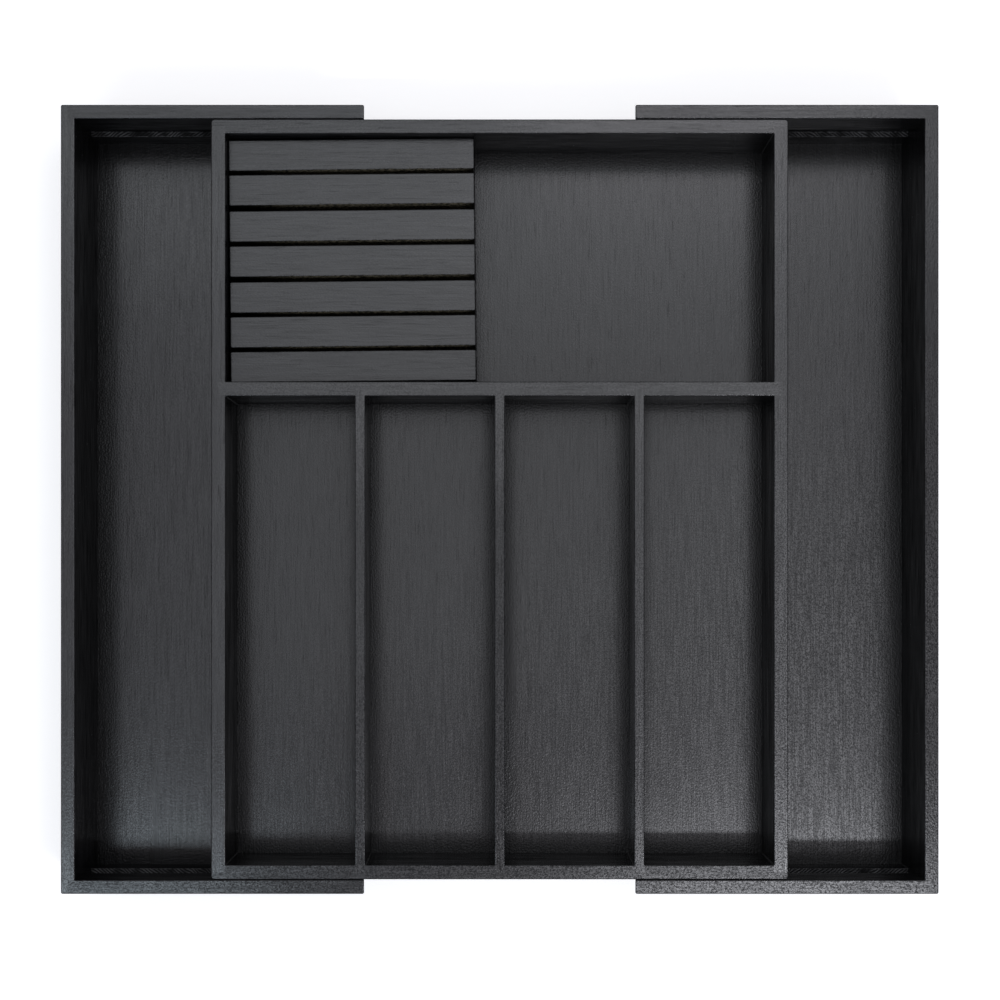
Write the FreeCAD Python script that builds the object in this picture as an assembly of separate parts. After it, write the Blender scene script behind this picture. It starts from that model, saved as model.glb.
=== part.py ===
import FreeCAD
import Part
import math
import os

# Expanding cutlery tray of stained wood, in millimetres.  A middle box with four cutlery bays and a rear
# bay stands between two side trays, which slide out to the left and right.  A loose knife block lies in the
# rear bay.  +X is to the right, +Y to the back and +Z up.  The origin is on the drawer floor under the middle
# of the tray, and the side trays are drawn pulled out to their stops.

# Whole tray
TRAY_DEPTH = 444.5  # front to back, over the side trays
RIM_HEIGHT = 64.0  # all rims, above the drawer floor
PULL_OUT = 75.9  # travel of a side tray, from closed to its stop

# Side trays
SIDE_WALL = 7.8
SIDE_FLOOR_THICK = 4.0
SIDE_FLOOR_RISE = 2.0  # underside of a side floor, above the drawer floor
END_LEAN = 5.5  # how far a rail's free end leans back from its top edge to its foot

# Slide between the side trays and the middle box
GROOVE_RISE = 16.5  # lower lip of the groove, above a side floor
GROOVE_HEIGHT = 17.0
GROOVE_DEPTH = 3.0
STOP_LENGTH = 8.0  # block in the mouth of the groove
RUNNER_LET_IN = 2.0  # depth of the runner's seat in the middle box's wall
RUNNER_SETBACK = 2.5  # outer end of a runner, from the corner of the middle box

# Middle box
MIDDLE_WIDTH = 325.0
MIDDLE_WALL = 8.0
MIDDLE_FLOOR_THICK = 4.0
MIDDLE_FLOOR_RISE = 6.6  # underside of the middle floor, above the bottom edges of the box
REAR_BAY = 139.8  # clear depth, front to back
CROSS_THICK = 8.0
DIVIDER_THICK = 5.7
DIVIDER_NAMES = ("left", "centre", "right")

# Knife block
BLOCK_LENGTH = 139.5
BLOCK_SLACK = 2.1  # rear bay's clear depth less the block's depth
BLOCK_DROP = 9.0  # top of the block below the rim
BASE_THICK = 6.0
SLAT_LET_IN = 2.0  # depth of a slat's seat in the base
SLOT_WIDTH = 2.6  # mean of the blade slots
SLOT_SHARES = (0.88, 1.20, 0.96, 1.15, 0.89, 0.92)  # each slot's share of the mean, from the back
TURN_SHARE = 0.65  # share of the turn that the slack allows

# Clearances
RUN_GAP = 0.4  # between a rail and the middle box
RUNNER_GAP = 0.3  # round a runner in its groove
SEAT_GAP = 0.4  # under the middle box, above the side floors
CLOSE_GAP = 1.0  # between an end wall and the middle box when closed
MEET_GAP = 1.0  # between the two side trays when closed
BLOCK_SEAT_GAP = 0.2
BLOCK_SIDE_GAP = 0.3
BLOCK_BACK_GAP = 0.3

# Edges and joints
ARRIS = 0.6
SIDE_CORNER = 1.0
MIDDLE_CORNER = 2.0
SLAT_CORNER = 1.0
HOUSING_SHARE = 0.5  # depth of a rebate, housing or floor groove, as a share of the board that it is cut in
OVERRUN = 1.0  # how far a cutter runs past a face
SAME_PLACE = 0.0001  # two places nearer than this are one

# Side trays, worked out for one side: distances from the middle outwards
SIDE_LENGTH = MIDDLE_WIDTH / 2 + CLOSE_GAP + SIDE_WALL - MEET_GAP / 2
SIDE_OUTER = MIDDLE_WIDTH / 2 + CLOSE_GAP + SIDE_WALL + PULL_OUT
SIDE_INNER = SIDE_OUTER - SIDE_WALL
SIDE_HOUSING = SIDE_WALL * HOUSING_SHARE
RAIL_FREE_END = SIDE_OUTER - SIDE_LENGTH
RAIL_HELD_END = SIDE_INNER + SIDE_HOUSING
PANEL_FREE_END = RAIL_FREE_END + END_LEAN
RAIL_OUTER = TRAY_DEPTH / 2
RAIL_INNER = RAIL_OUTER - SIDE_WALL
SIDE_FLOOR_TOP = SIDE_FLOOR_RISE + SIDE_FLOOR_THICK
SIDE_FLOOR_SPAN = (SIDE_FLOOR_RISE, SIDE_FLOOR_TOP)
GROOVE_LOW = SIDE_FLOOR_TOP + GROOVE_RISE
GROOVE_SPAN = (GROOVE_LOW, GROOVE_LOW + GROOVE_HEIGHT)
STOP_FACE = RAIL_FREE_END + STOP_LENGTH

# Middle box, worked out
MIDDLE_BASE = SIDE_FLOOR_TOP + SEAT_GAP
MIDDLE_SPAN = (MIDDLE_BASE, RIM_HEIGHT)
MIDDLE_OUTER_X = MIDDLE_WIDTH / 2
MIDDLE_INNER_X = MIDDLE_OUTER_X - MIDDLE_WALL
MIDDLE_OUTER_Y = RAIL_INNER - RUN_GAP
MIDDLE_INNER_Y = MIDDLE_OUTER_Y - MIDDLE_WALL
MIDDLE_HOUSING = MIDDLE_WALL * HOUSING_SHARE
MIDDLE_FLOOR_LOW = MIDDLE_BASE + MIDDLE_FLOOR_RISE
MIDDLE_FLOOR_TOP = MIDDLE_FLOOR_LOW + MIDDLE_FLOOR_THICK
MIDDLE_FLOOR_SPAN = (MIDDLE_FLOOR_LOW, MIDDLE_FLOOR_TOP)
BAY_SPAN = (MIDDLE_FLOOR_TOP, RIM_HEIGHT)
CROSS_BACK = MIDDLE_INNER_Y - REAR_BAY
CROSS_FRONT = CROSS_BACK - CROSS_THICK
CROSS_HOUSING = CROSS_THICK * HOUSING_SHARE
RUNNER_SPAN = (GROOVE_SPAN[0] + RUNNER_GAP, GROOVE_SPAN[1] - RUNNER_GAP)
RUNNER_INNER_END = STOP_FACE + RUNNER_GAP
RUNNER_OUTER_END = MIDDLE_OUTER_X - RUNNER_SETBACK
RUNNER_REACH = RAIL_INNER + GROOVE_DEPTH - RUNNER_GAP

# Knife block, worked out: it stands at a slight turn, as far as its slack in the bay lets it
BLOCK_DEPTH = REAR_BAY - BLOCK_SLACK
BLOCK_LOW = MIDDLE_FLOOR_TOP + BLOCK_SEAT_GAP
BLOCK_TOP = RIM_HEIGHT - BLOCK_DROP
BLOCK_TURN = TURN_SHARE * math.asin(BLOCK_SLACK / BLOCK_LENGTH)
SLAT_THICK = (BLOCK_DEPTH - SLOT_WIDTH * sum(SLOT_SHARES)) / (len(SLOT_SHARES) + 1)
SLAT_LOW = BLOCK_LOW + BASE_THICK - SLAT_LET_IN


def span(a, b):
    """Two places along an axis, the lower one first."""
    return (min(a, b), max(a, b))


def box(xs, ys, zs):
    """A plain box between two places along each axis."""
    corner = FreeCAD.Vector(xs[0], ys[0], zs[0])
    return Part.makeBox(xs[1] - xs[0], ys[1] - ys[0], zs[1] - zs[0], corner)


def lies_at(edge, axis, place):
    """Whether every point of an edge has this place along an axis."""
    low = getattr(edge.BoundBox, axis + "Min")
    high = getattr(edge.BoundBox, axis + "Max")
    return abs(low - place) < SAME_PLACE and abs(high - place) < SAME_PLACE


def rounded_uprights(solid, corners, radius):
    """Rounds the upright edges that stand at these (x, y) corners."""
    uprights = [
        edge
        for edge in solid.Edges
        if any(lies_at(edge, "X", x) and lies_at(edge, "Y", y) for x, y in corners)
    ]
    return solid.makeFillet(radius, uprights)


def eased_levels(solid, levels):
    """Eases all edges that lie at these heights."""
    edges = [edge for edge in solid.Edges if any(lies_at(edge, "Z", z) for z in levels)]
    return solid.makeFillet(ARRIS, edges)


def let_in(board, ends):
    """A board whose ends are left sharp where they are let into other boards."""
    return board.fuse(ends).removeSplitter().Solids[0]


def corners_of(xs, ys):
    """All pairs of places on two axes."""
    return [(x, y) for x in xs for y in ys]


def cut(solid, tools):
    """One solid, less the tools."""
    return solid.cut(tools).Solids[0]


def leaning_cut(side):
    """The wedge that is cut off the rails' free ends, below their top edges."""
    clear_end = side * (RAIL_FREE_END - OVERRUN)
    brow = RIM_HEIGHT - ARRIS
    outline = [
        (side * RAIL_FREE_END, brow),
        (side * PANEL_FREE_END, 0),
        (side * PANEL_FREE_END, -OVERRUN),
        (clear_end, -OVERRUN),
        (clear_end, brow),
    ]
    corners = [FreeCAD.Vector(x, -RAIL_OUTER - OVERRUN, z) for x, z in outline]
    wedge = Part.Face(Part.makePolygon(corners + corners[:1]))
    return wedge.extrude(FreeCAD.Vector(0, 2 * (RAIL_OUTER + OVERRUN), 0))


def side_tray(name, side):
    """A side tray: an end wall, two rails, a floor panel and two stops, at side -1 (left) or 1 (right)."""
    outer = side * SIDE_OUTER
    inner = side * SIDE_INNER
    housed = side * RAIL_HELD_END
    free_end = side * RAIL_FREE_END
    past_inner = side * (SIDE_INNER - OVERRUN)
    full_height = (0, RIM_HEIGHT)
    past_height = (-OVERRUN, RIM_HEIGHT + OVERRUN)
    full_depth = (-RAIL_OUTER, RAIL_OUTER)

    end_wall = box(span(inner, outer), full_depth, full_height)
    end_wall = rounded_uprights(end_wall, corners_of([outer], full_depth), SIDE_CORNER)
    end_wall = eased_levels(end_wall, full_height)
    rebates = [
        box(span(past_inner, housed), span(end * RAIL_INNER, end * (RAIL_OUTER + OVERRUN)), past_height)
        for end in (-1, 1)
    ]
    floor_groove = box(span(past_inner, housed), (-RAIL_INNER, RAIL_INNER), SIDE_FLOOR_SPAN)
    pieces = {f"{name}_end_wall": cut(end_wall, rebates + [floor_groove])}

    for place, end in (("back", 1), ("front", -1)):
        inside = end * RAIL_INNER
        outside = end * RAIL_OUTER
        past_inside = end * (RAIL_INNER - OVERRUN)
        groove_bottom = end * (RAIL_INNER + GROOVE_DEPTH)
        rail = box(span(free_end, housed), span(inside, outside), full_height)
        rail = rounded_uprights(rail, corners_of([free_end], [inside, outside]), SIDE_CORNER)
        rail = eased_levels(rail, full_height)
        rail_end = box(span(inner, housed), span(inside, end * (RAIL_OUTER - ARRIS)), full_height)
        rail = let_in(rail, [rail_end])
        past_ends = span(side * (RAIL_FREE_END - OVERRUN), side * (RAIL_HELD_END + OVERRUN))
        floor_groove = box(past_ends, span(past_inside, end * (RAIL_INNER + SIDE_HOUSING)), SIDE_FLOOR_SPAN)
        slide_run = span(side * (RAIL_FREE_END - OVERRUN), inner)
        slide_groove = box(slide_run, span(past_inside, groove_bottom), GROOVE_SPAN)
        pieces[f"{name}_{place}_rail"] = cut(rail, [floor_groove, slide_groove, leaning_cut(side)])
        stop = box(span(free_end, side * STOP_FACE), span(inside, groove_bottom), GROOVE_SPAN)
        pieces[f"{name}_{place}_stop"] = cut(stop, [leaning_cut(side)])

    panel_reach = RAIL_INNER + SIDE_HOUSING
    panel_run = span(side * PANEL_FREE_END, housed)
    pieces[f"{name}_floor_panel"] = box(panel_run, (-panel_reach, panel_reach), SIDE_FLOOR_SPAN)
    return pieces


def divider_places():
    """The middles of the long dividers across the box, which leave equal bays."""
    clear = 2 * MIDDLE_INNER_X - DIVIDER_THICK * len(DIVIDER_NAMES)
    pitch = clear / (len(DIVIDER_NAMES) + 1) + DIVIDER_THICK
    first = -MIDDLE_INNER_X + pitch - DIVIDER_THICK / 2
    return [first + pitch * number for number in range(len(DIVIDER_NAMES))]


def runner(side, end):
    """A strip that stands out of the middle box's front or back wall into a rail's groove."""
    seat = end * (MIDDLE_OUTER_Y - RUNNER_LET_IN)
    run = span(side * RUNNER_INNER_END, side * RUNNER_OUTER_END)
    return box(run, span(seat, end * RUNNER_REACH), RUNNER_SPAN)


def middle_long_wall(end, runners, dividers):
    """The front or back wall of the middle box, over its whole width and rebated for the short walls."""
    width = (-MIDDLE_OUTER_X, MIDDLE_OUTER_X)
    inside = end * MIDDLE_INNER_Y
    outside = end * MIDDLE_OUTER_Y
    past_inside = end * (MIDDLE_INNER_Y - OVERRUN)
    housed = end * (MIDDLE_INNER_Y + MIDDLE_HOUSING)
    past_height = (MIDDLE_BASE - OVERRUN, RIM_HEIGHT + OVERRUN)
    wall = box(width, span(inside, outside), MIDDLE_SPAN)
    wall = rounded_uprights(wall, corners_of(width, [outside]), MIDDLE_CORNER)
    wall = eased_levels(wall, MIDDLE_SPAN)
    rebate_runs = [span(side * MIDDLE_INNER_X, side * (MIDDLE_OUTER_X + OVERRUN)) for side in (-1, 1)]
    rebates = [box(run, span(past_inside, housed), past_height) for run in rebate_runs]
    floor_groove = box((-MIDDLE_INNER_X, MIDDLE_INNER_X), span(past_inside, housed), MIDDLE_FLOOR_SPAN)
    return cut(wall, rebates + [floor_groove] + runners + dividers)


def middle_short_wall(side, cross):
    """The left or right wall of the middle box, let into its long walls and housed for the cross divider."""
    inside = side * MIDDLE_INNER_X
    outside = side * MIDDLE_OUTER_X
    reach = MIDDLE_INNER_Y + MIDDLE_HOUSING
    wall = eased_levels(box(span(inside, outside), (-reach, reach), MIDDLE_SPAN), MIDDLE_SPAN)
    sharp_width = span(inside, side * (MIDDLE_OUTER_X - ARRIS))
    sharp_runs = [span(end * MIDDLE_INNER_Y, end * reach) for end in (-1, 1)]
    wall = let_in(wall, [box(sharp_width, sharp_run, MIDDLE_SPAN) for sharp_run in sharp_runs])
    groove_width = span(side * (MIDDLE_INNER_X - OVERRUN), side * (MIDDLE_INNER_X + MIDDLE_HOUSING))
    floor_groove = box(groove_width, (-reach - OVERRUN, reach + OVERRUN), MIDDLE_FLOOR_SPAN)
    return cut(wall, [floor_groove, cross])


def middle_box():
    """The middle box: four walls, a floor panel, the dividers and the runners."""
    reach_x = MIDDLE_INNER_X + MIDDLE_HOUSING
    reach_y = MIDDLE_INNER_Y + MIDDLE_HOUSING
    past_rim = (MIDDLE_FLOOR_TOP, RIM_HEIGHT + OVERRUN)
    cross_run = (-reach_x, reach_x)
    cross_width = (CROSS_FRONT, CROSS_BACK)
    divider_run = (-reach_y, CROSS_FRONT + CROSS_HOUSING)
    divider_ends = ((-reach_y, -MIDDLE_INNER_Y), (CROSS_FRONT, CROSS_FRONT + CROSS_HOUSING))

    cross = eased_levels(box(cross_run, cross_width, BAY_SPAN), [RIM_HEIGHT])
    cross_ends = [span(side * MIDDLE_INNER_X, side * reach_x) for side in (-1, 1)]
    cross = let_in(cross, [box(cross_end, cross_width, BAY_SPAN) for cross_end in cross_ends])
    cross_seat = box(cross_run, cross_width, past_rim)
    dividers = {}
    divider_seats = []
    for name, middle in zip(DIVIDER_NAMES, divider_places()):
        width = (middle - DIVIDER_THICK / 2, middle + DIVIDER_THICK / 2)
        divider = eased_levels(box(width, divider_run, BAY_SPAN), [RIM_HEIGHT])
        divider = let_in(divider, [box(width, divider_end, BAY_SPAN) for divider_end in divider_ends])
        dividers[f"long_divider_{name}"] = divider
        divider_seats.append(box(width, divider_run, past_rim))

    pieces = {"cross_divider": cut(cross, divider_seats), **dividers}
    for place, end, seats in (("back", 1, []), ("front", -1, divider_seats)):
        strips = {name: runner(side, end) for name, side in (("left", -1), ("right", 1))}
        pieces[f"middle_{place}_wall"] = middle_long_wall(end, list(strips.values()), seats)
        for name, strip in strips.items():
            pieces[f"runner_{place}_{name}"] = strip
    for name, side in (("left", -1), ("right", 1)):
        pieces[f"middle_{name}_wall"] = middle_short_wall(side, cross_seat)
    pieces["middle_floor_panel"] = box((-reach_x, reach_x), (-reach_y, reach_y), MIDDLE_FLOOR_SPAN)
    return pieces


def knife_block():
    """The loose knife block: seven slats on a grooved base, with a blade slot between each two slats."""
    length = (-BLOCK_LENGTH / 2, BLOCK_LENGTH / 2)
    base_span = (BLOCK_LOW, BLOCK_LOW + BASE_THICK)
    base = box(length, (-BLOCK_DEPTH / 2, BLOCK_DEPTH / 2), base_span)
    base = eased_levels(base, [BLOCK_LOW])
    pieces = {}
    back = BLOCK_DEPTH / 2
    for number, slot_share in enumerate(SLOT_SHARES + (0,), start=1):
        width = (back - SLAT_THICK, back)
        slat = box(length, width, (SLAT_LOW, BLOCK_TOP))
        slat = rounded_uprights(slat, corners_of(length, width), SLAT_CORNER)
        pieces[f"block_slat_{number}"] = eased_levels(slat, [BLOCK_TOP])
        back -= SLAT_THICK + SLOT_WIDTH * slot_share
    pieces["block_base"] = cut(base, list(pieces.values()))

    turn = math.degrees(BLOCK_TURN)
    half_width = (BLOCK_LENGTH * math.cos(BLOCK_TURN) + BLOCK_DEPTH * math.sin(BLOCK_TURN)) / 2
    half_depth = (BLOCK_DEPTH * math.cos(BLOCK_TURN) + BLOCK_LENGTH * math.sin(BLOCK_TURN)) / 2
    place = FreeCAD.Vector(
        -MIDDLE_INNER_X + BLOCK_SIDE_GAP + half_width,
        MIDDLE_INNER_Y - BLOCK_BACK_GAP - half_depth,
        0,
    )
    for solid in pieces.values():
        solid.rotate(FreeCAD.Vector(0, 0, 0), FreeCAD.Vector(0, 0, 1), turn)
        solid.translate(place)
    return pieces


def whole_tray():
    """All pieces by name."""
    return {**middle_box(), **side_tray("left", -1), **side_tray("right", 1), **knife_block()}


os.makedirs("parts", exist_ok=True)
for node, piece in whole_tray().items():
    piece.exportStep(f"parts/{node}.step")
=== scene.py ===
import math

import bmesh
import bpy
import numpy as np
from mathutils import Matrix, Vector


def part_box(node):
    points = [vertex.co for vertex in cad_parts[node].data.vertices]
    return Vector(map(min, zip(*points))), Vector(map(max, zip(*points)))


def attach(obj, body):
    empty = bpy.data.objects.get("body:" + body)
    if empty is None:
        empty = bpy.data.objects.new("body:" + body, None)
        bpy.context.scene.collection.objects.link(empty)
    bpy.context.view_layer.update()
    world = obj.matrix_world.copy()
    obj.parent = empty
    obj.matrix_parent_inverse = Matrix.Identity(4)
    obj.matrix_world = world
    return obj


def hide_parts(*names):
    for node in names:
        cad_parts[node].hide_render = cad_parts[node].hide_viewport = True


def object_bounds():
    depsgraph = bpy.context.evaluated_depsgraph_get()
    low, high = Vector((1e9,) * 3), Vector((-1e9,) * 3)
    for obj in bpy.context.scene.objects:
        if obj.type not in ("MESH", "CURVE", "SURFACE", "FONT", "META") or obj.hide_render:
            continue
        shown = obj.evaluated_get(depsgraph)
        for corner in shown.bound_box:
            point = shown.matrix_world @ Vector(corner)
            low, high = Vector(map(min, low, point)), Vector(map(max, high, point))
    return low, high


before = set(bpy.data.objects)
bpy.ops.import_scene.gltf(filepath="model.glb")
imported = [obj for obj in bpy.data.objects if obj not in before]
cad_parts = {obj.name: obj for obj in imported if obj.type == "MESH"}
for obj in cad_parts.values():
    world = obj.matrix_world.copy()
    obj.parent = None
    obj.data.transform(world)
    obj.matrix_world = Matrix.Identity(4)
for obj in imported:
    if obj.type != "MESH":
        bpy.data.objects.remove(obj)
cad_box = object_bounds()

# Sizes and places below are in metres, unless a name says otherwise.

# Camera: how far above the rim and in front of the middle it is, its lens, and how its frame is shifted
RIM_DISTANCE = 1.005
CAMERA_FORWARD = 0.0479
FOCAL_SHARE = 1.785
SENSOR_MM = 36.0
FRAME_SHIFT = (0.0003, 0.0844)

# Stage and surround
FLOOR_HALF = 6.0
FLOOR_GAP = 0.0005
FLOOR_COLOUR = (0.9, 0.9, 0.9, 1)
FLOOR_ROUGHNESS = 0.9
FLOOR_GLOW = 0.5
FLOOR_GLOW_COLOUR = (1, 1, 1, 1)
SURROUND_SEEN = (0.93, 0.93, 0.93)
SURROUND_LOW = (0.30, 0.29, 0.31)
SURROUND_HIGH = (0.80, 0.77, 0.83)
SURROUND_RISE = (0.8, 1.0)

# Lamps.  The target is the point below that a lamp is turned to, and the brightness is how it shows in the
# varnish.
LAMPS = {
    "top_lamp": {
        "place": (0.05, 0.1, 1.25),
        "target": (0.05, 0.1, 0),
        "size": (0.8, 0.6),
        "brightness": 0.63,
        "colour": (0.91, 0.98, 1.0),
    },
    "left_lamp": {
        "place": (-0.4, 0.05, 1.2),
        "target": (-0.4, 0.05, 0),
        "size": (0.24, 0.6),
        "brightness": 0.15,
        "colour": (0.6, 0.85, 1.0),
    },
    "right_lamp": {
        "place": (0.36, -0.1, 1.15),
        "target": (0.36, -0.1, 0),
        "size": (0.26, 0.6),
        "brightness": 0.66,
        "colour": (0.93, 0.94, 1.0),
    },
    "back_lamp": {
        "place": (-0.05, 0.58, 1.15),
        "target": (-0.05, 0.2, 0),
        "size": (1.5, 0.5),
        "brightness": 1.0,
        "colour": (0.87, 0.95, 1.0),
    },
    "back_right_lamp": {
        "place": (0.25, 0.52, 1.15),
        "target": (0.25, 0.2, 0),
        "size": (0.45, 0.16),
        "brightness": 2.1,
        "colour": (1.0, 0.94, 0.99),
    },
    "front_right_lamp": {
        "place": (0.36, -0.484, 1.12),
        "target": (0.36, -0.2, 0),
        "size": (0.45, 0.05),
        "brightness": 47.0,
        "colour": (0.92, 0.94, 1.0),
    },
    "front_left_lamp": {
        "place": (-0.54, -0.5, 1.12),
        "target": (-0.54, -0.2, 0),
        "size": (0.5, 0.25),
        "brightness": 5.0,
        "colour": (0.75, 0.9, 1.0),
    },
}

# Which way the grain of a board runs, and how far apart the boards' cuts of the wood may lie
ALONG_X = 0.0
ALONG_Y = math.pi / 2
GRAIN_SEED = 7
GRAIN_SPREAD = 5.0

# Noise in the wood: how long its features are along the grain, how wide across it, and its detail
STREAK_NOISE = (0.022, 0.0010, 2.0)
PORE_NOISE = (0.016, 0.0007, 1.0)
LINE_NOISE = (0.030, 0.0008, 1.0)
DOT_NOISE = (0.0008, 0.0006, 0.0)
FIGURE_NOISE = (0.16, 0.012, 2.0)
RIDGE_NOISE = (0.012, 0.0008, 1.0)
NAP_NOISE = (0.0011, 0.0009, 0.0)
RUB_NOISE = (0.006, 0.003, 2.0)
FIBRE_NOISE = (0.0020, 0.0012, 2.0)
BEAD_NOISE = (0.004, 0.004, 2.0)

# Spans of a noise over which what it drives goes from none to all
MOST_OF_NOISE = (0.3, 0.7)
RUB_SPAN = (0.35, 0.65)
FIBRE_SPAN = (0.3, 0.75)

# Pores: the noise above a level, with a soft edge.  They lower the relief and dull the gloss.
PORE_LEVEL = 0.62
PORE_EDGE = 0.08
PORE_DEPTH = 0.08
PORE_GLOSS = 0.6

# Specks of varnish: spacing, the share of the places that have one, and its soft edge in spacings
SPECK_SPACING = 0.009
SPECK_SHARE = 0.5
SPECK_EDGE = (0.05, 0.025)

# Spans of a part of the normal over which a face turns to the front, turns level, or becomes an eased edge
FRONT_TURN = (-0.6, -0.9)
LEVEL_TURN = (0.3, 0.9)
EDGE_TURN = (0.99, 0.93)

# Finishes.  Level faces have a satin varnish.  The nap share of its gloss lies under a fine nap, with a
# roughness that is a multiple of the varnish's, and the rest is a coat with thin lines and dots.  These
# swing the coat by a share at the back left and by another at the front right.  Upright faces have a thin
# sheen over the bare stain.  The left floor is grainier all over.
FINISHES = {
    "floor": {
        "stain": (0.0042, 0.0043, 0.0046),
        "gloss": 0.54,
        "rough": 0.18,
        "sheen": 0.0,
        "grain_height": 0.00006,
        "nap_height": 0.00011,
        "nap_share": 0.5,
        "nap_rough": 1.45,
        "lines": (0.11, 0.40),
        "dots": (0.14, 0.75),
    },
    "wall": {
        "stain": (0.0070, 0.0071, 0.0077),
        "gloss": 0.62,
        "rough": 0.20,
        "sheen": 0.44,
        "grain_height": 0.00006,
        "nap_height": 0.00011,
        "nap_share": 0.5,
        "nap_rough": 1.3,
        "lines": (0.15, 0.27),
        "dots": (0.28, 1.0),
    },
    "block": {
        "stain": (0.0074, 0.0075, 0.0079),
        "gloss": 0.63,
        "rough": 0.22,
        "sheen": 0.25,
        "grain_height": 0.00010,
        "nap_height": 0.00008,
        "nap_share": 0.6,
        "nap_rough": 1.3,
        "lines": (0.12, 0.12),
        "dots": (0.10, 0.40),
    },
    "slide": {
        "stain": (0.0080, 0.0078, 0.0074),
        "gloss": 0.3,
        "rough": 0.4,
        "sheen": 0.15,
        "grain_height": 0.00010,
        "nap_height": 0.00010,
        "nap_share": 0.5,
        "nap_rough": 1.0,
        "lines": (0.16, 0.16),
        "dots": (0.10, 0.40),
    },
}
FINISHES["left_floor"] = {**FINISHES["floor"], "lines": (0.22, 0.40), "dots": (0.30, 0.75)}

# How stain and varnish bend and scatter light, and the coat weight that goes with a gloss
STAIN_IOR = 1.5
COAT_PER_GLOSS = 2.0
VARNISH_IOR = 1.6
VARNISH_ROUGHNESS = 0.27
BARE_ROUGHNESS = 0.6

# Tones of streaks, pores, rubbed edges and specks, as shares of the stain
STREAK_TONES = (0.35, 1.65)
PORE_TONE = 0.2
RUB_TONE = 3.5
SPECK_TONE = 16

# Shares between which the figure swings the roughness, and figure and streaks swing the upright sheen
FIGURE_ROUGH = (0.85, 1.15)
FIGURE_SHEEN = (0.75, 1.25)
STREAK_SHEEN = (0.55, 1.45)

# Painted glints: the varnish's lines and dots swing further towards the front right, where the lamp's
# highlight falls, over this rise of a share of X less Y.  The plain swing is theirs where a board gives
# none.
PAINTED_GLINT_SIDE_SHARE = 0.5
PAINTED_GLINT_RISE = (-0.02, 0.2)
PLAIN_SWING = 0.2

# Boards that differ from the rest: shares of the level faces' gloss and roughness, and of the upright sheen
SHARES_OF_ALL = (1.0, 1.0, 1.0)
BOARD_SHARES = {
    "left_floor_panel": (1.06, 1.0, 1.0),
    "middle_floor_panel": (0.99, 1.1, 1.0),
    "right_floor_panel": (1.08, 1.4, 1.0),
    "left_end_wall": (1.0, 1.0, 0.8),
    "left_back_rail": (0.92, 1.0, 0.9),
    "right_end_wall": (0.73, 0.9, 1.1),
    "right_back_rail": (0.80, 1.0, 1.55),
    "left_front_rail": (0.72, 1.0, 0.85),
    "right_front_rail": (0.82, 1.2, 1.4),
    "middle_back_wall": (0.96, 1.0, 1.7),
    "middle_front_wall": (0.70, 1.1, 1.4),
    "middle_left_wall": (1.0, 1.0, 1.2),
    "middle_right_wall": (1.02, 1.2, 1.6),
    "cross_divider": (1.10, 1.0, 1.5),
    "long_divider_left": (0.79, 1.0, 2.4),
    "long_divider_centre": (0.65, 1.0, 2.2),
    "long_divider_right": (0.89, 1.2, 3.0),
    "block_slat_1": (0.97, 1.0, 1.0),
    "block_slat_3": (1.03, 1.0, 1.0),
    "block_slat_7": (0.94, 1.0, 1.0),
}

# Walls by which a floor panel's coat thins, as painted shade that darkens the floor where the walls' shade
# falls: the axis across the wall, and how far from it the coat is thin
PAINTED_SHADE_BY_WALLS = {
    "left_floor_panel": {
        "left_end_wall": ("X", 0.016),
        "left_back_rail": ("Y", 0.014),
        "left_front_rail": ("Y", 0.020),
    },
    "middle_floor_panel": {
        "middle_left_wall": ("X", 0.012),
        "middle_right_wall": ("X", 0.012),
        "middle_back_wall": ("Y", 0.010),
        "middle_front_wall": ("Y", 0.015),
        "cross_divider": ("Y", 0.006),
        "long_divider_left": ("X", 0.010),
        "long_divider_centre": ("X", 0.010),
        "long_divider_right": ("X", 0.010),
    },
    "right_floor_panel": {
        "right_end_wall": ("X", 0.014),
        "right_back_rail": ("Y", 0.014),
        "right_front_rail": ("Y", 0.014),
    },
}

# The coat of the long dividers where they join the cross divider, as a share of theirs, and how far it fades
JOIN_FADE = 0.09
GLOSS_AT_JOIN = {
    "long_divider_left": 1.85,
    "long_divider_centre": 2.4,
    "long_divider_right": 1.45,
}

# Machining marks on the lower lip of the slide grooves, with a row of dots along each side
RUNNER_GAP = 0.0003
MARK_STEP = 0.0003
MARK_COLUMNS = 20
MARK_PITCH = 0.0026
MARK_LEAN = 1.6
MARK_DRIFT = 0.8
MARK_HEIGHT = 0.00026
MARK_SPACING = 0.004
# The lip's stain, and the pale of the marks' tops, which is bare wood and painted glints
MARK_DARK = (0.003, 0.003, 0.0032)
MARK_PALE_AND_GLINT = (0.16, 0.16, 0.165)
MARK_ROUGHNESS = (0.6, 0.35)
MARK_GLOSS = 0.12
MARK_SEAT = 0.0001
MARK_SEED = 11
DOT_PLACES = (0.06, 0.94)
DOT_WIDTH = 0.1
DOT_SPACING = 0.0012

# Beads of varnish that ran together in corners
BEAD_RADIUS = (0.0004, 0.0007)
BEAD_LEAST = 0.6
BEAD_SWELL = 0.8
BEAD_SPACING = 0.006
BEAD_ROWS = 40
BEAD_ARC = 7
BEAD_SEAT_SHARE = 0.1
BEAD_DROP = 0.0015
BEAD_SEED = 5
BEAD_COLOUR = (0.006, 0.006, 0.0065)
BEAD_TONES = (0.5, 1.5)
BEAD_ROUGHNESS = (0.08, 0.3)

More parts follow.
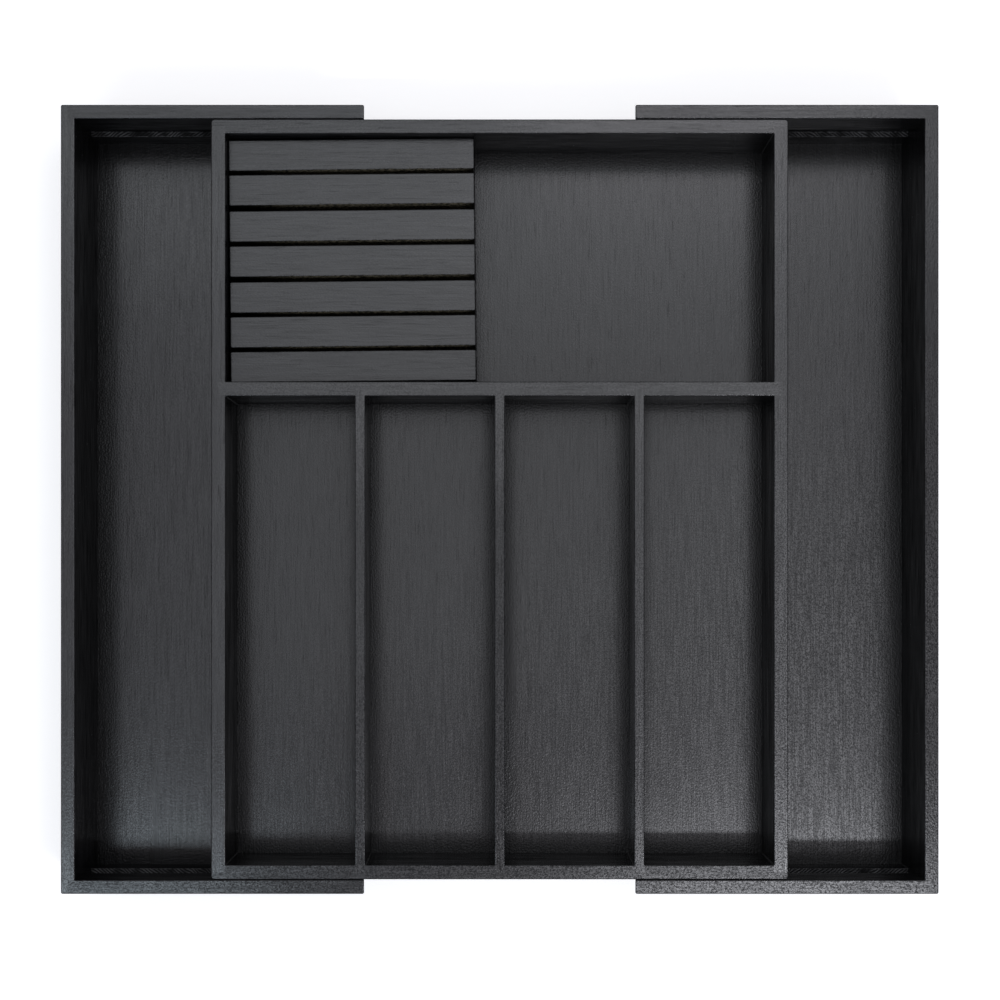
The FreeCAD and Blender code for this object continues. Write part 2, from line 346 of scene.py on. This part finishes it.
# Slats of the knife block.  The front one's face is the outside of the block, and isn't sawn.
OUTER_SLAT = "block_slat_7"
SLAT_CORNER = 0.001
SLAT_ARRIS = 0.0006
SLAT_STEP = 0.0006
SLAT_SEED = 3
SAWN_STEPS = 12
ARRIS_STEPS = 4
CHIP_DEPTH = 0.0004
CHIP_AT_LEFT = 0.25
CHIP_POWER = 3
CHIP_SINK = 0.4
CHIP_REACH = 0.0016
CHIP_SPACING = 0.0013
SAW_DEPTH = 0.00008
SAW_PITCH = 0.0021
SAW_STARTS = 6
SAWN_DARK = (0.004, 0.004, 0.003)
SAWN_LIGHT = (0.20, 0.175, 0.12)
# Painted shade at the slat ends: within the first distance from each end the sawn face is dark, and past the
# second its fibres are fully pale
SAWN_PAINTED_END_SHADE = (0.008, 0.05)


def feed(tree, sockets, values):
    """Gives sockets their values by name.  Each is a plain value, or another node's output to link."""
    for name, value in values.items():
        if isinstance(value, bpy.types.NodeSocket):
            tree.links.new(value, sockets[name])
        else:
            sockets[name].default_value = value


def add(tree, kind, inputs=None, **settings):
    """Adds a shader node with these settings, and feeds its inputs."""
    made = tree.nodes.new("ShaderNode" + kind)
    for name, value in settings.items():
        setattr(made, name, value)
    feed(tree, made.inputs, inputs or {})
    return made


def calculate(tree, operation, *values):
    """One sum on values that may be sockets."""
    return add(tree, "Math", dict(enumerate(values)), operation=operation).outputs[0]


def parts_of(tree, vector):
    """The X, Y and Z of a vector."""
    return add(tree, "SeparateXYZ", {0: vector}).outputs


def ramp(tree, value, low, high):
    """A smooth step from 0 at low to 1 at high."""
    span = {"Value": value, "From Min": low, "From Max": high}
    return add(tree, "MapRange", span, interpolation_type="SMOOTHSTEP").outputs["Result"]


def between(tree, factor, low, high):
    """A value that runs from low to high as the factor runs from 0 to 1."""
    return add(tree, "MapRange", {"Value": factor, "To Min": low, "To Max": high}).outputs["Result"]


def about_one(tree, factor, swing):
    """A value that runs from 1 less the swing to 1 more than it as the factor runs from 0 to 1."""
    return between(tree, factor, calculate(tree, "SUBTRACT", 1.0, swing), calculate(tree, "ADD", 1.0, swing))


def opaque(colour):
    """A plain colour with full alpha, or a socket as it is."""
    return colour if isinstance(colour, bpy.types.NodeSocket) else (*colour, 1)


def over(tree, factor, below, above):
    """One colour laid over another by a factor."""
    inputs = {"Factor": factor, "A": opaque(below), "B": opaque(above)}
    return add(tree, "Mix", inputs, data_type="RGBA").outputs["Result"]


def shade(colour, share):
    """A share of a colour."""
    return tuple(part * share for part in colour)


def stretched_noise(tree, vector, length, width, detail):
    """Noise from 0 to 1 with features this long along X and this wide across it."""
    shrink = (1 / length, 1 / width, 1 / width)
    scaled = add(tree, "VectorMath", {0: vector, 1: shrink}, operation="MULTIPLY")
    noise = add(tree, "TexNoise", {"Vector": scaled.outputs[0], "Scale": 1.0, "Detail": detail})
    return noise.outputs["Fac"]


def new_group(name, inputs, outputs):
    """An empty node group.  An input with no value is a vector, and every other socket is a number."""
    tree = bpy.data.node_groups.new(name, "ShaderNodeTree")
    for socket, value in inputs.items():
        kind = "NodeSocketVector" if value is None else "NodeSocketFloat"
        made = tree.interface.new_socket(socket, in_out="INPUT", socket_type=kind)
        if value is not None:
            made.default_value = value
    for socket in outputs:
        tree.interface.new_socket(socket, in_out="OUTPUT", socket_type="NodeSocketFloat")
    entry = tree.nodes.new("NodeGroupInput").outputs
    leave = tree.nodes.new("NodeGroupOutput").inputs
    return tree, entry, leave


def group(tree, name, inputs):
    """Places a node group and gives back its outputs."""
    return add(tree, "Group", inputs, node_tree=bpy.data.node_groups[name]).outputs


def new_material(name):
    """A material, its node tree and its shader."""
    material = bpy.data.materials.new(name)
    material.use_nodes = True
    tree = material.node_tree
    return material, tree, tree.nodes["Principled BSDF"]


def wood_grain_group():
    """Grain of a board that runs along X: streaks, dark pores, broad figure, and heights for the relief.

    All are noise stretched along X.  The pores are the part of a short, thin noise that lies above a level.
    The height is ridges less the pores.  The nap is a fine, nearly even noise of the varnish over the grain.
    The gloss is about 1: thin lines and dots of it come and go, and the pores are dull.
    """
    inputs = {"Vector": None, "Pore Level": PORE_LEVEL, "Lines": PLAIN_SWING, "Dots": PLAIN_SWING}
    outputs = ("Streak", "Pore", "Figure", "Height", "Nap", "Gloss")
    tree, entry, leave = new_group("wood_grain", inputs, outputs)
    vector = entry["Vector"]
    level = entry["Pore Level"]
    dash = stretched_noise(tree, vector, *PORE_NOISE)
    pore = ramp(tree, dash, level, calculate(tree, "ADD", level, PORE_EDGE))
    ridge = stretched_noise(tree, vector, *RIDGE_NOISE)
    line = ramp(tree, stretched_noise(tree, vector, *LINE_NOISE), *MOST_OF_NOISE)
    dot = ramp(tree, stretched_noise(tree, vector, *DOT_NOISE), *MOST_OF_NOISE)
    lined = about_one(tree, line, entry["Lines"])
    dotted = about_one(tree, dot, entry["Dots"])
    shine = calculate(tree, "MULTIPLY", lined, dotted)
    found = {
        "Streak": stretched_noise(tree, vector, *STREAK_NOISE),
        "Pore": pore,
        "Figure": stretched_noise(tree, vector, *FIGURE_NOISE),
        "Height": calculate(tree, "SUBTRACT", ridge, calculate(tree, "MULTIPLY", pore, PORE_DEPTH)),
        "Nap": stretched_noise(tree, vector, *NAP_NOISE),
        "Gloss": calculate(tree, "MULTIPLY", shine, between(tree, pore, 1.0, PORE_GLOSS)),
    }
    feed(tree, leave, found)


def face_group():
    """Where a face looks to the front, and where it is an eased edge.

    An edge is where no part of the normal is near 1, and the rub there comes and goes along the edge.
    """
    tree, entry, leave = new_group("face_turn", {"Vector": None, "Normal": None}, ("Front", "Rub"))
    size = add(tree, "VectorMath", {0: entry["Normal"]}, operation="ABSOLUTE").outputs[0]
    parts = parts_of(tree, size)
    most = calculate(tree, "MAXIMUM", calculate(tree, "MAXIMUM", parts["X"], parts["Y"]), parts["Z"])
    edge = ramp(tree, most, *EDGE_TURN)
    patches = ramp(tree, stretched_noise(tree, entry["Vector"], *RUB_NOISE), *RUB_SPAN)
    front = ramp(tree, parts_of(tree, entry["Normal"])["Y"], *FRONT_TURN)
    feed(tree, leave, {"Front": front, "Rub": calculate(tree, "MULTIPLY", edge, patches)})


def speck_group():
    """Sparse specks: small balls round a share of a scattered grid's points, where they cut the surface."""
    inputs = {"Vector": None, "Spacing": SPECK_SPACING, "Share": SPECK_SHARE}
    tree, entry, leave = new_group("varnish_specks", inputs, ("Speck",))
    scale = calculate(tree, "DIVIDE", 1.0, entry["Spacing"])
    cells = add(tree, "TexVoronoi", {"Vector": entry["Vector"], "Scale": scale}).outputs
    near = ramp(tree, cells["Distance"], *SPECK_EDGE)
    drawn = add(tree, "SeparateColor", {0: cells["Color"]}).outputs[0]
    kept = calculate(tree, "LESS_THAN", drawn, entry["Share"])
    feed(tree, leave, {"Speck": calculate(tree, "MULTIPLY", near, kept)})


def clear_of_painted_wall_shade(tree, place, walls):
    """1 in the open and 0 at each wall: the product of smooth steps of the distance from the walls' faces.

    The distance is that from the wall's middle, less half its thickness.  The long dividers count only as
    far back as they reach.
    """
    # Painted shade: the coat fades towards each wall, so that the floor darkens where the walls' shade falls
    clear = 1.0
    for wall, (axis, reach) in walls.items():
        low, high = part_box(wall)
        number = "XYZ".index(axis)
        middle = (low[number] + high[number]) / 2
        half = (high - low)[number] / 2
        from_middle = calculate(tree, "ABSOLUTE", calculate(tree, "SUBTRACT", place[axis], middle))
        step = ramp(tree, calculate(tree, "SUBTRACT", from_middle, half), 0.0, reach)
        if wall.startswith("long_divider"):
            step = calculate(tree, "MAXIMUM", step, calculate(tree, "GREATER_THAN", place["Y"], high.y))
        clear = calculate(tree, "MULTIPLY", clear, step)
    return clear


def glossier_at_join(tree, place, share):
    """1 along a long divider, and this share at the cross divider: a smooth step of Y over the fade."""
    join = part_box("cross_divider")[0].y
    return between(tree, ramp(tree, place["Y"], join - JOIN_FADE, join), 1.0, share)


def level_varnish(tree, shader, look, shares, wood, colour, coat_shares):
    """Satin varnish of level faces: a gloss under the relief of grain and nap, and a streaked coat."""
    gloss_share, rough_share, _ = shares
    gloss = look["gloss"] * gloss_share
    coat_rough = look["rough"] * rough_share
    nap_rough = coat_rough * look["nap_rough"]
    smooth, dull = FIGURE_ROUGH
    grain = {"Distance": look["grain_height"], "Height": wood["Height"]}
    grain_relief = add(tree, "Bump", grain).outputs[0]
    nap = {"Distance": look["nap_height"], "Height": wood["Nap"], "Normal": grain_relief}
    coat = calculate(tree, "MULTIPLY", wood["Gloss"], COAT_PER_GLOSS * gloss * (1 - look["nap_share"]))
    for share in coat_shares:
        coat = calculate(tree, "MULTIPLY", coat, share)
    values = {
        "Base Color": colour,
        "Roughness": between(tree, wood["Figure"], smooth * nap_rough, dull * nap_rough),
        "IOR": STAIN_IOR,
        "Specular IOR Level": gloss * look["nap_share"],
        "Normal": add(tree, "Bump", nap).outputs[0],
        "Coat Weight": coat,
        "Coat Roughness": coat_rough,
        "Coat IOR": STAIN_IOR,
    }
    feed(tree, shader.inputs, values)


def upright_sheen(tree, wood, strength):
    """A thin sheen that comes and goes with the figure and the streaks of the wood."""
    broken = between(tree, ramp(tree, wood["Figure"], *MOST_OF_NOISE), *FIGURE_SHEEN)
    streaks = between(tree, ramp(tree, wood["Streak"], *MOST_OF_NOISE), *STREAK_SHEEN)
    return calculate(tree, "MULTIPLY", calculate(tree, "MULTIPLY", broken, streaks), strength)


def sawn_fibres(tree, vector, place, slat):
    """Colour of a slat's sawn face: pale fibres, darkened towards both ends of the slat by painted shade."""
    low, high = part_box(slat)
    near, far = SAWN_PAINTED_END_SHADE
    from_left = ramp(tree, place["X"], low.x + near, low.x + far)
    from_right = ramp(tree, place["X"], high.x, high.x - near)
    fibres = ramp(tree, stretched_noise(tree, vector, *FIBRE_NOISE), *FIBRE_SPAN)
    bare = calculate(tree, "MULTIPLY", calculate(tree, "MULTIPLY", from_left, from_right), fibres)
    return over(tree, bare, SAWN_DARK, SAWN_LIGHT)


def finish_of(node):
    """The finish that a board of this name has."""
    if node.endswith("floor_panel"):
        return "left_floor" if node.startswith("left") else "floor"
    if node.startswith("block"):
        return "block"
    if node.startswith("runner") or node.endswith("stop"):
        return "slide"
    return "wall"


def is_sawn(node):
    """Whether this is a slat whose front face is sawn."""
    return node.startswith("block_slat") and node != OUTER_SLAT


def stained_board(node, grain, offset):
    """Black stained wood for one board, with its grain along X or Y of the tray.

    The stain has streaks, dark pores and rubbed edges.  Level faces are varnished, and upright ones have a
    broken sheen and a few specks.  The upward part of the normal blends the two.  The front face of a sawn
    slat is bare.
    """
    look = FINISHES[finish_of(node)]
    shares = BOARD_SHARES.get(node, SHARES_OF_ALL)
    stain = look["stain"]
    material, tree, lying = new_material(node)
    where = add(tree, "TexCoord").outputs
    place = parts_of(tree, where["Object"])
    turned = {"Vector": where["Object"], "Location": offset, "Rotation": (0, 0, grain)}
    vector = add(tree, "Mapping", turned).outputs[0]
    # Painted glints: lines and dots of the coat swing further towards the front right
    aside = calculate(tree, "MULTIPLY", place["X"], PAINTED_GLINT_SIDE_SHARE)
    painted_glints = ramp(tree, calculate(tree, "SUBTRACT", aside, place["Y"]), *PAINTED_GLINT_RISE)
    lines = between(tree, painted_glints, *look["lines"])
    dots = between(tree, painted_glints, *look["dots"])
    wood = group(tree, "wood_grain", {"Vector": vector, "Lines": lines, "Dots": dots})
    face = group(tree, "face_turn", {"Vector": vector, "Normal": where["Normal"]})
    speck = group(tree, "varnish_specks", {"Vector": vector})["Speck"]

    dark, pale = STREAK_TONES
    streaky = over(tree, ramp(tree, wood["Streak"], *MOST_OF_NOISE), shade(stain, dark), shade(stain, pale))
    pored = over(tree, wood["Pore"], streaky, shade(stain, PORE_TONE))
    rubbed = over(tree, face["Rub"], pored, shade(stain, RUB_TONE))

    coat_shares = []
    if node in GLOSS_AT_JOIN:
        coat_shares.append(glossier_at_join(tree, place, GLOSS_AT_JOIN[node]))
    # Painted shade of the walls: the floor panel's coat fades towards them
    if node in PAINTED_SHADE_BY_WALLS:
        coat_shares.append(clear_of_painted_wall_shade(tree, place, PAINTED_SHADE_BY_WALLS[node]))
    level_varnish(tree, lying, look, shares, wood, rubbed, coat_shares)

    colour = over(tree, speck, rubbed, shade(stain, SPECK_TONE))
    sheen = upright_sheen(tree, wood, look["sheen"] * shares[2])
    if is_sawn(node):
        colour = over(tree, face["Front"], colour, sawn_fibres(tree, vector, place, node))
        sheen = calculate(tree, "MULTIPLY", sheen, between(tree, face["Front"], 1.0, 0.0))
    bare = {
        "Base Color": colour,
        "Roughness": BARE_ROUGHNESS,
        "Specular IOR Level": 0.0,
        "Coat Roughness": VARNISH_ROUGHNESS,
        "Coat IOR": VARNISH_IOR,
    }
    if look["sheen"] > 0:
        bare["Coat Weight"] = sheen
    standing = add(tree, "BsdfPrincipled", bare)

    level = ramp(tree, parts_of(tree, where["Normal"])["Z"], *LEVEL_TURN)
    both = add(tree, "MixShader", {0: level, 1: standing.outputs[0], 2: lying.outputs[0]})
    feed(tree, tree.nodes["Material Output"].inputs, {"Surface": both.outputs[0]})
    return material


def dress_boards():
    """Gives each board its own cut of the wood.

    The grain runs along the board's longer side, and from front to back in the floor panels.
    """
    draw = np.random.default_rng(GRAIN_SEED)
    for node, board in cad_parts.items():
        low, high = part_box(node)
        size = high - low
        grain = ALONG_X if size.x > size.y and not node.endswith("floor_panel") else ALONG_Y
        offset = tuple(draw.uniform(-GRAIN_SPREAD, GRAIN_SPREAD, 3))
        board.data.materials.clear()
        board.data.materials.append(stained_board(node, grain, offset))


def ring_quads(rows, columns):
    """Corner numbers of a grid's quads, where the last column joins the first."""
    row, column = np.meshgrid(np.arange(rows - 1), np.arange(columns), indexing="ij")
    beside = (column + 1) % columns
    corners = [row * columns + column, row * columns + beside]
    corners += [(row + 1) * columns + beside, (row + 1) * columns + column]
    return np.stack(corners, axis=-1).reshape(-1, 4)


def carried_profile(name, sections, material, body, smooth):
    """A closed piece from its sections, an array of path steps by profile points by 3, with flat ends."""
    rows, columns, _ = sections.shape
    first = np.arange(columns)
    faces = ring_quads(rows, columns).tolist()
    faces += [first.tolist(), (first + (rows - 1) * columns).tolist()]
    mesh = bpy.data.meshes.new(name)
    mesh.from_pydata(sections.reshape(-1, 3).tolist(), [], faces)
    shell = bmesh.new()
    shell.from_mesh(mesh)
    bmesh.ops.recalc_face_normals(shell, faces=shell.faces)
    shell.to_mesh(mesh)
    shell.free()
    mesh.polygons.foreach_set("use_smooth", np.full(len(mesh.polygons), smooth))
    mesh.materials.append(material)
    piece = bpy.data.objects.new(name, mesh)
    bpy.context.scene.collection.objects.link(piece)
    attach(piece, body)
    return piece


def standing_box(node):
    """Middle, half sizes, long axis and cross axis of a board that may be turned about Z, from its corners.

    The long axis is the direction in which the corners, seen from above, spread the most.
    """
    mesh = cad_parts[node].data
    points = np.empty(len(mesh.vertices) * 3)
    mesh.vertices.foreach_get("co", points)
    points = points.reshape(-1, 3)
    middle = (points.min(axis=0) + points.max(axis=0)) / 2
    flat = points[:, :2] - middle[:2]
    axis = np.linalg.svd(flat, full_matrices=False)[2][0]
    axis = axis * np.sign(axis[0])
    across = np.array([-axis[1], axis[0]])
    half = np.array([np.abs(flat @ axis).max(), np.abs(flat @ across).max(), np.ptp(points[:, 2]) / 2])
    return middle, half, axis, across


def knot_noise(draw, places, spacing):
    """Random heights from 0 to 1 at even knots, joined by straight runs, read at these places."""
    knots = np.arange(places.min(), places.max() + 2 * spacing, spacing)
    return np.interp(places, knots, draw.random(len(knots)))


def slat_sections(half, draw, sawn):
    """Sections of a slat along its length, about its own middle.

    Each section is a loop: up the front face, in steps that shorten as a square, over an eased arris, the
    top and another arris, and down the back.  Near the ends the loop draws in along a quarter circle.  The
    front face is pressed in by saw waves, and its arris by chips: random knots to a power, which grow
    towards the right and fade below the arris.  A slat that isn't sawn has neither.
    """
    length, thick, height = half
    turn = np.linspace(0, math.pi / 2, ARRIS_STEPS + 1)
    rounding = SLAT_CORNER * (1 - np.cos(turn))
    runs = int(2 * length / SLAT_STEP)
    middle_run = np.linspace(SLAT_CORNER, 2 * length - SLAT_CORNER, runs)
    along = np.concatenate([rounding[:-1], middle_run, 2 * length - rounding[-2::-1]])
    to_end = np.minimum(along, 2 * length - along)
    draw_in = SLAT_CORNER - np.sqrt(SLAT_CORNER**2 - np.clip(SLAT_CORNER - to_end, 0, None) ** 2)
    drop = SLAT_ARRIS - np.sqrt(SLAT_ARRIS**2 - np.clip(SLAT_ARRIS - to_end, 0, None) ** 2)

    shoulder = height - SLAT_ARRIS
    front_z = shoulder - 2 * shoulder * np.linspace(1, 0, SAWN_STEPS) ** 2
    front_y = np.full(SAWN_STEPS, -thick)
    arris_y = SLAT_ARRIS * (1 - np.cos(turn[1:]))
    arris_z = shoulder + SLAT_ARRIS * np.sin(turn[1:])
    back_z = np.concatenate([arris_z[::-1], [shoulder, -shoulder]])
    back_y = np.concatenate([thick - arris_y[::-1], [thick, thick]])
    profile_y = np.concatenate([front_y, arris_y - thick, back_y])
    profile_z = np.concatenate([front_z, arris_z, back_z])
    profile_z = np.where(profile_z <= -shoulder, -height, profile_z)
    at_front = np.arange(len(profile_y)) < SAWN_STEPS + ARRIS_STEPS
    chip_fade = np.where(at_front, np.exp(-np.clip(shoulder - profile_z, 0, None) / CHIP_REACH), 0)
    chip_fade[SAWN_STEPS + ARRIS_STEPS - 1] = 0

    grow = CHIP_AT_LEFT + (1 - CHIP_AT_LEFT) * along / (2 * length)
    chip = CHIP_DEPTH * grow * knot_noise(draw, along, CHIP_SPACING) ** CHIP_POWER
    start = draw.random() * SAW_STARTS
    waves = SAW_DEPTH * (0.5 + 0.5 * np.sin(2 * math.pi * along / SAW_PITCH + start))
    if not sawn:
        chip = np.zeros_like(chip)
        waves = np.zeros_like(waves)
    pressed = chip[:, None] * chip_fade + waves[:, None] * np.where(profile_y == -thick, 1, 0)
    y = profile_y * (1 - draw_in[:, None] / thick) + pressed
    z = np.minimum(profile_z, (height - drop)[:, None]) - CHIP_SINK * chip[:, None] * chip_fade
    x = np.broadcast_to((along - length)[:, None], y.shape)
    return np.stack([x, y, z], axis=-1)


def sawn_slats():
    """The knife block's slats, with rough-sawn front faces and chipped arrises."""
    draw = np.random.default_rng(SLAT_SEED)
    for node in sorted(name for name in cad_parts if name.startswith("block_slat")):
        middle, half, axis, across = standing_box(node)
        own = slat_sections(half, draw, is_sawn(node))
        sections = np.empty_like(own)
        sections[..., :2] = own[..., :1] * axis + own[..., 1:2] * across
        sections[..., 2] = own[..., 2]
        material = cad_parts[node].data.materials[0]
        name = f"sawn_{node}"
        piece = carried_profile(name, sections + middle, material, "knife_block", False)
        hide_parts(node)


def machined_lip():
    """Dull black stain, pale along the tops of the marks as bare wood and painted glints, by an attribute of
    the piece.
    """
    material, tree, shader = new_material("machined_lip")
    worn_and_glint = add(tree, "Attribute", attribute_name="worn_and_glint").outputs["Fac"]
    values = {
        "Base Color": over(tree, worn_and_glint, MARK_DARK, MARK_PALE_AND_GLINT),
        "Roughness": between(tree, worn_and_glint, *MARK_ROUGHNESS),
        "Specular IOR Level": MARK_GLOSS,
    }
    feed(tree, shader.inputs, values)
    return material


def ledge_sections(start, end, inner, deep, level, draw):
    """Sections of a machined strip on a groove's lip, from start to end in X and from inner to deep in Y.

    The top is leaning strokes: a triangle wave, squared, of X over its pitch plus a lean times the share of
    the width, with a drift from random knots.  Other knots raise and lower the strokes, and make a row of
    dots along each side.  The share of bare wood and painted glint that goes with each point is the height
    of its mark.
    """
    along = np.linspace(start, end, int(abs(end - start) / MARK_STEP))
    run = np.abs(along - start)
    share = np.linspace(0, 1, MARK_COLUMNS)
    drift = MARK_DRIFT * knot_noise(draw, run, MARK_SPACING)
    wave = (run / MARK_PITCH + drift)[:, None] + MARK_LEAN * share
    mark = (1 - np.abs(2 * (wave % 1) - 1)) ** 2 * knot_noise(draw, run, MARK_SPACING)[:, None]
    for place in DOT_PLACES:
        near = np.clip(1 - np.abs(share - place) / DOT_WIDTH, 0, 1)
        mark = np.maximum(mark, near * knot_noise(draw, run, DOT_SPACING)[:, None] ** 2)
    seat = np.full((len(along), 1), level - MARK_SEAT)
    z = np.concatenate([seat, level + MARK_HEIGHT * mark, seat], axis=1)
    y = np.concatenate([[inner], inner + (deep - inner) * share, [deep]])
    x = np.broadcast_to(along[:, None], z.shape)
    return np.stack([x, np.broadcast_to(y, z.shape), z], axis=-1), np.pad(mark, ((0, 0), (1, 1)))


def machined_ledges():
    """The lower lips of the slide grooves, with leaning machining marks."""
    draw = np.random.default_rng(MARK_SEED)
    material = machined_lip()
    for side in ("left", "right"):
        wall_low, wall_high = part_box(f"{side}_end_wall")
        for place in ("back", "front"):
            rail_low, rail_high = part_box(f"{side}_{place}_rail")
            stop_low, stop_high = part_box(f"{side}_{place}_stop")
            runner_low, runner_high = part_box(f"runner_{place}_{side}")
            start, end = (stop_low.x, wall_high.x) if side == "left" else (stop_high.x, wall_low.x)
            at_back = place == "back"
            inner = rail_low.y if at_back else rail_high.y
            deep = runner_high.y + RUNNER_GAP if at_back else runner_low.y - RUNNER_GAP
            sections, worn_and_glint = ledge_sections(start, end, inner, deep, runner_low.z - RUNNER_GAP, draw)
            name = f"{side}_{place}_ledge"
            piece = carried_profile(name, sections, material, f"{side}_tray", False)
            piece.data.attributes.new("worn_and_glint", "FLOAT", "POINT").data.foreach_set("value", worn_and_glint.ravel())


def varnish_bead():
    """Glossy black varnish whose gloss and tone come and go."""
    material, tree, shader = new_material("varnish_bead")
    patches = stretched_noise(tree, add(tree, "TexCoord").outputs["Object"], *BEAD_NOISE)
    dark, pale = BEAD_TONES
    colour = over(tree, patches, shade(BEAD_COLOUR, dark), shade(BEAD_COLOUR, pale))
    rough = between(tree, patches, *BEAD_ROUGHNESS)
    feed(tree, shader.inputs, {"Base Color": colour, "Roughness": rough})
    return material


def bead_sections(corner, turn, low, high, draw):
    """Sections of a run of varnish up an inner corner.

    The profile is the corner between two walls, closed by a hollow quarter circle that meets both.  Its
    radius swells with random knots along the height, and it is seated a little way into the walls.
    """
    heights = np.linspace(low, high, BEAD_ROWS)
    radius = draw.uniform(*BEAD_RADIUS)
    swell = radius * (BEAD_LEAST + BEAD_SWELL * knot_noise(draw, heights, BEAD_SPACING))
    angle = np.linspace(-math.pi / 2, -math.pi, BEAD_ARC)
    across = np.concatenate([[-BEAD_SEAT_SHARE, 1], 1 + np.cos(angle), [-BEAD_SEAT_SHARE]])
    away = np.concatenate([[-BEAD_SEAT_SHARE, -BEAD_SEAT_SHARE], 1 + np.sin(angle), [1]])
    x = corner[0] + turn[0] * swell[:, None] * across
    y = corner[1] + turn[1] * swell[:, None] * away
    z = np.broadcast_to(heights[:, None], x.shape)
    return np.stack([x, y, z], axis=-1)


def corner_beads():
    """Varnish that ran together in some upright corners of the bays and in the front of the right tray."""
    draw = np.random.default_rng(BEAD_SEED)
    rim = cad_box[1].z - BEAD_DROP
    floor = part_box("middle_floor_panel")[1].z
    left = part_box("middle_left_wall")[1].x
    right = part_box("middle_right_wall")[0].x
    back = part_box("middle_back_wall")[0].y
    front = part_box("middle_front_wall")[1].y
    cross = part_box("cross_divider")[0].y
    first_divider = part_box("long_divider_left")[1].x
    last_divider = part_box("long_divider_right")[0].x
    bay_corners = [
        ((right, back), (-1, -1)),
        ((left, cross), (1, -1)),
        ((last_divider, cross), (-1, -1)),
        ((left, front), (1, 1)),
        ((first_divider, front), (1, 1)),
        ((last_divider, front), (-1, 1)),
        ((right, front), (-1, 1)),
    ]
    beads = [("middle_tray", corner, turn, floor, rim) for corner, turn in bay_corners]
    tray_corner = (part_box("right_end_wall")[0].x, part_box("right_front_rail")[1].y)
    tray_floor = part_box("right_floor_panel")[1].z
    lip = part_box("runner_front_right")[0].z - RUNNER_GAP
    beads.append(("right_tray", tray_corner, (-1, 1), tray_floor, lip))
    material = varnish_bead()
    for number, (body, *run) in enumerate(beads, start=1):
        sections = bead_sections(*run, draw)
        carried_profile(f"corner_bead_{number}", sections, material, body, True)


def stage():
    """A pale floor that shows white to the camera and keeps the tray's shadow."""
    signs = np.array([(-1, -1), (1, -1), (1, 1), (-1, 1)])
    corners = np.column_stack([signs * FLOOR_HALF, np.full(len(signs), -FLOOR_GAP)])
    mesh = bpy.data.meshes.new("floor")
    mesh.from_pydata(corners.tolist(), [], [(0, 1, 2, 3)])
    floor = bpy.data.objects.new("floor", mesh)
    bpy.context.scene.collection.objects.link(floor)
    material, tree, shader = new_material("pale_floor")
    path = add(tree, "LightPath").outputs
    seen = calculate(tree, "MAXIMUM", path["Is Camera Ray"], path["Is Glossy Ray"])
    shown = calculate(tree, "MAXIMUM", seen, path["Is Transmission Ray"])
    values = {
        "Base Color": FLOOR_COLOUR,
        "Roughness": FLOOR_ROUGHNESS,
        "Emission Color": FLOOR_GLOW_COLOUR,
        "Emission Strength": calculate(tree, "MULTIPLY", shown, FLOOR_GLOW),
    }
    feed(tree, shader.inputs, values)
    mesh.materials.append(material)


def area_lamp(name, place, target, size, brightness, colour):
    """A soft oblong lamp.  Its power is its brightness times pi and its area."""
    lamp = bpy.data.lights.new(name, "AREA")
    lamp.shape = "RECTANGLE"
    lamp.size, lamp.size_y = size
    lamp.energy = brightness * math.pi * size[0] * size[1]
    lamp.color = colour
    holder = bpy.data.objects.new(name, lamp)
    holder.location = place
    holder.rotation_euler = (Vector(target) - Vector(place)).to_track_quat("-Z", "Y").to_euler()
    holder.visible_camera = False
    bpy.context.scene.collection.objects.link(holder)


def light():
    """A surround that is darker low down and pale to the camera, with soft lamps above the tray."""
    world = bpy.data.worlds.new("surround")
    world.use_nodes = True
    tree = world.node_tree
    height = parts_of(tree, add(tree, "TexCoord").outputs["Generated"])["Z"]
    glow = over(tree, ramp(tree, height, *SURROUND_RISE), SURROUND_LOW, SURROUND_HIGH)
    seen = over(tree, add(tree, "LightPath").outputs["Is Camera Ray"], glow, SURROUND_SEEN)
    feed(tree, tree.nodes["Background"].inputs, {"Color": seen})
    bpy.context.scene.world = world
    for name, lamp in LAMPS.items():
        area_lamp(name, **lamp)


def camera():
    """The camera looks straight down, with its frame shifted so that the tray is in the middle."""
    lens = bpy.data.cameras.new("camera")
    lens.sensor_width = SENSOR_MM
    lens.lens = SENSOR_MM * FOCAL_SHARE
    lens.shift_x, lens.shift_y = FRAME_SHIFT
    holder = bpy.data.objects.new("camera", lens)
    holder.location = (0, -CAMERA_FORWARD, cad_box[1].z + RIM_DISTANCE)
    bpy.context.scene.collection.objects.link(holder)
    bpy.context.scene.camera = holder


wood_grain_group()
face_group()
speck_group()
dress_boards()
sawn_slats()
machined_ledges()
corner_beads()
stage()
light()
camera()
bpy.context.scene.view_settings.view_transform = "Standard"
